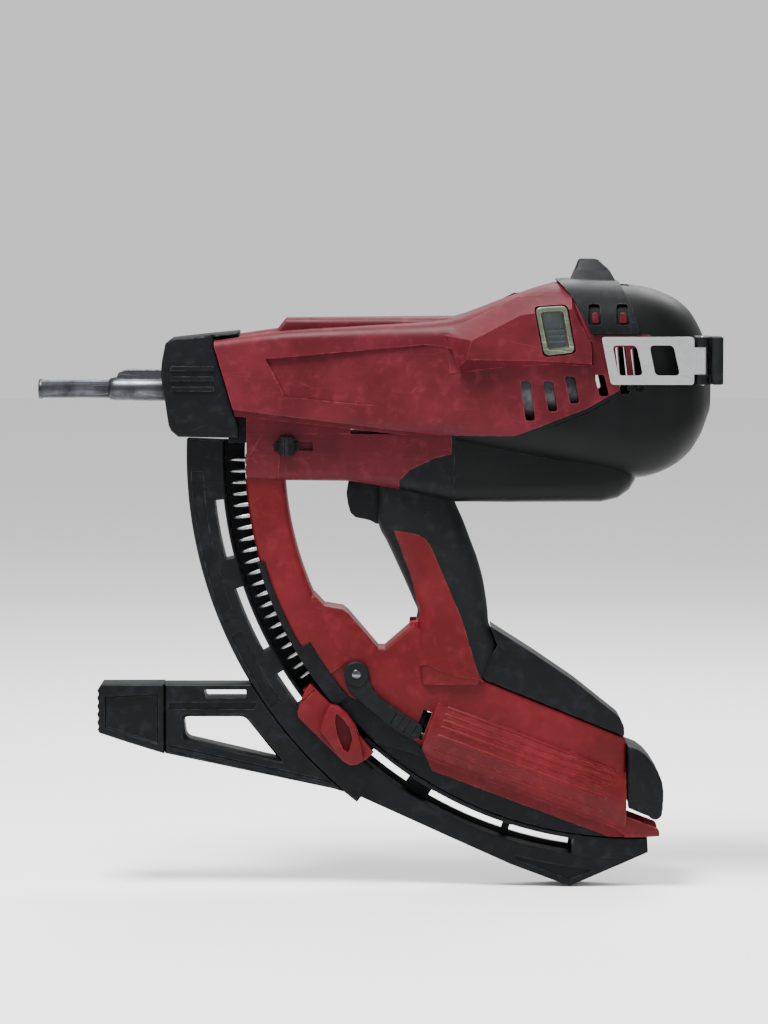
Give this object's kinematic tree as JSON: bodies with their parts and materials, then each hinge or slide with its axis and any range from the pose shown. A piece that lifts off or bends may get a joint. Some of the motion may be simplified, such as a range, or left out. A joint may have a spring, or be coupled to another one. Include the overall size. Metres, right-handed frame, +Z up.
{
  "type": "gas-actuated concrete nailer",
  "caption": "Red and black gas-actuated nailer with a curved nail magazine, support leg, steel belt hook and sloping gas can base.",
  "frame": {"origin": "firing axis at the front face of the fastener guide", "axes": "-X out of the muzzle along the firing axis, +Z up, -Y the tool's left side"},
  "size_m": [0.4304, 0.123, 0.4003],
  "materials": {
    "red_shell": "moulded glass-filled nylon, worn matte",
    "black_shell": "moulded nylon, fine texture",
    "black_frame": "moulded nylon, scuffed satin",
    "grip_rubber": "moulded soft rubber",
    "dark_steel": "oiled ground steel",
    "worn_steel": "worn steel",
    "stamped_steel": "stamped stainless strap, scratched",
    "spring_steel": "spring wire",
    "machined_steel": "machined steel",
    "cast_alloy": "die-cast",
    "bezel_metal": "worn painted die casting",
    "pane": "smoked polycarbonate",
    "filter_foam": "open-cell foam",
    "bumper_rubber": "hard rubber",
    "ceramic": "glazed ceramic",
    "igniter_brass": "satin",
    "can_metal": "drawn can",
    "nail_steel": "zinc plated",
    "collation": "moulded strip",
    "red_pusher": "moulded nylon",
    "screw_steel": "zinc plated"
  },
  "bodies": {
    "tool_body": {"press_spring": "spring_steel", "nose_cone": "black_shell", "housing_left": "red_shell", "housing_right": "red_shell", "rear_housing": "black_shell", "trigger_housing": "black_shell", "grip_rubber": "grip_rubber", "rear_panel": "grip_rubber", "window_bezel": "bezel_metal", "window_pane": "pane", "filter_cover": "black_shell", "air_filter": "filter_foam", "hook_bracket": "black_shell", "hook_pin": "machined_steel", "trigger_spring": "spring_steel", "piezo_igniter": "igniter_brass", "cylinder_tube": "machined_steel", "bumper": "bumper_rubber", "cylinder_head": "cast_alloy", "spark_plug": "ceramic", "gas_can": "can_metal", "metering_valve": "black_frame", "cover_pin": "machined_steel", "latch_pin": "machined_steel", "magazine_frame": "black_frame", "collation_strip": "collation", "nails": "nail_steel", "support_leg": "black_frame", "foot_pad": "black_frame", "housing_screws": "screw_steel"},
    "nosepiece": {"fastener_guide": "worn_steel", "guide_sleeve": "dark_steel", "contact_bar": "dark_steel", "press_linkage": "machined_steel", "chamber_sleeve": "cast_alloy"},
    "trigger_body": {"trigger": "black_frame"},
    "pusher_body": {"pusher": "red_pusher"},
    "latch_body": {"latch_lever": "black_frame"},
    "cover_body": {"can_cover": "black_shell"},
    "hook_body": {"belt_hook": "stamped_steel"},
    "piston_body": {"piston": "machined_steel"},
    "adjuster_body": {"depth_adjuster": "black_frame"}
  },
  "joints": [
    {"name": "nose_press", "type": "slide", "parent": "tool_body", "child": "nosepiece", "axis": [1, 0, 0], "range_m": [0, 0.036], "stiffness_N_per_m": 900, "springref_m": -0.02, "deforming": ["press_spring"]},
    {"name": "trigger_pull", "type": "slide", "parent": "tool_body", "child": "trigger_body", "axis": [1, 0, 0], "range_m": [0, 0.006], "stiffness_N_per_m": 1500, "springref_m": -0.003, "deforming": ["trigger_spring"]},
    {"name": "pusher_draw", "type": "hinge", "parent": "tool_body", "child": "pusher_body", "pos_m": [0.3748, 0, -0.0423], "axis": [0, -1, 0], "range_deg": [0, 30], "stiffness_Nm_per_rad": 0.6, "springref_deg": -114.59},
    {"name": "latch_turn", "type": "hinge", "parent": "tool_body", "child": "latch_body", "pos_m": [0.202, 0, -0.18], "axis": [0, 1, 0], "range_deg": [0, 15], "stiffness_Nm_per_rad": 0.15, "springref_deg": -17.19},
    {"name": "cover_swing", "type": "hinge", "parent": "tool_body", "child": "cover_body", "pos_m": [0.3925, 0, -0.27], "axis": [0, 1, 0], "range_deg": [0, 95]},
    {"name": "hook_swing", "type": "hinge", "parent": "tool_body", "child": "hook_body", "pos_m": [0.4175, -0.0595, 0.0205], "axis": [0, 0, 1], "range_deg": [0, 100]},
    {"name": "piston_drive", "type": "slide", "parent": "tool_body", "child": "piston_body", "axis": [-1, 0, 0], "range_m": [0, 0.124]},
    {"name": "adjuster_slide", "type": "slide", "parent": "tool_body", "child": "adjuster_body", "axis": [1, 0, 0], "range_m": [0, 0.008]}
  ]
}
